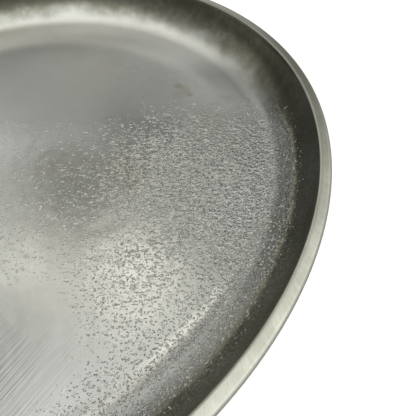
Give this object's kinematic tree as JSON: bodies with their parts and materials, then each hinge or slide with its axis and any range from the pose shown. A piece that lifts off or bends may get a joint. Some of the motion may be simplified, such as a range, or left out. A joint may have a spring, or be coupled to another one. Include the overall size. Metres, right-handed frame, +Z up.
{
  "type": "decorative plate",
  "caption": "Round cast metal plate with a steep coved wall, a narrow flat ground rim and a pebbled satin floor, on stick-on felt pads.",
  "frame": {"origin": "on the plate's axis, at the surface that the felt pads stand on", "axes": "+Z up along the plate's axis, out of the hollow; the felt pads lie on the diagonals between X and Y"},
  "size_m": [0.2998, 0.2998, 0.029],
  "materials": {
    "cast_metal": "satin, as cast on the floor and dressed bright on the rim",
    "felt": "pressed wool felt",
    "adhesive": "dull translucent film"
  },
  "bodies": {
    "root": {"dish": "cast_metal", "felt_pad_1": "felt", "felt_pad_2": "felt", "felt_pad_3": "felt", "felt_pad_4": "felt", "adhesive_disc_1": "adhesive", "adhesive_disc_2": "adhesive", "adhesive_disc_3": "adhesive", "adhesive_disc_4": "adhesive"}
  },
  "joints": []
}
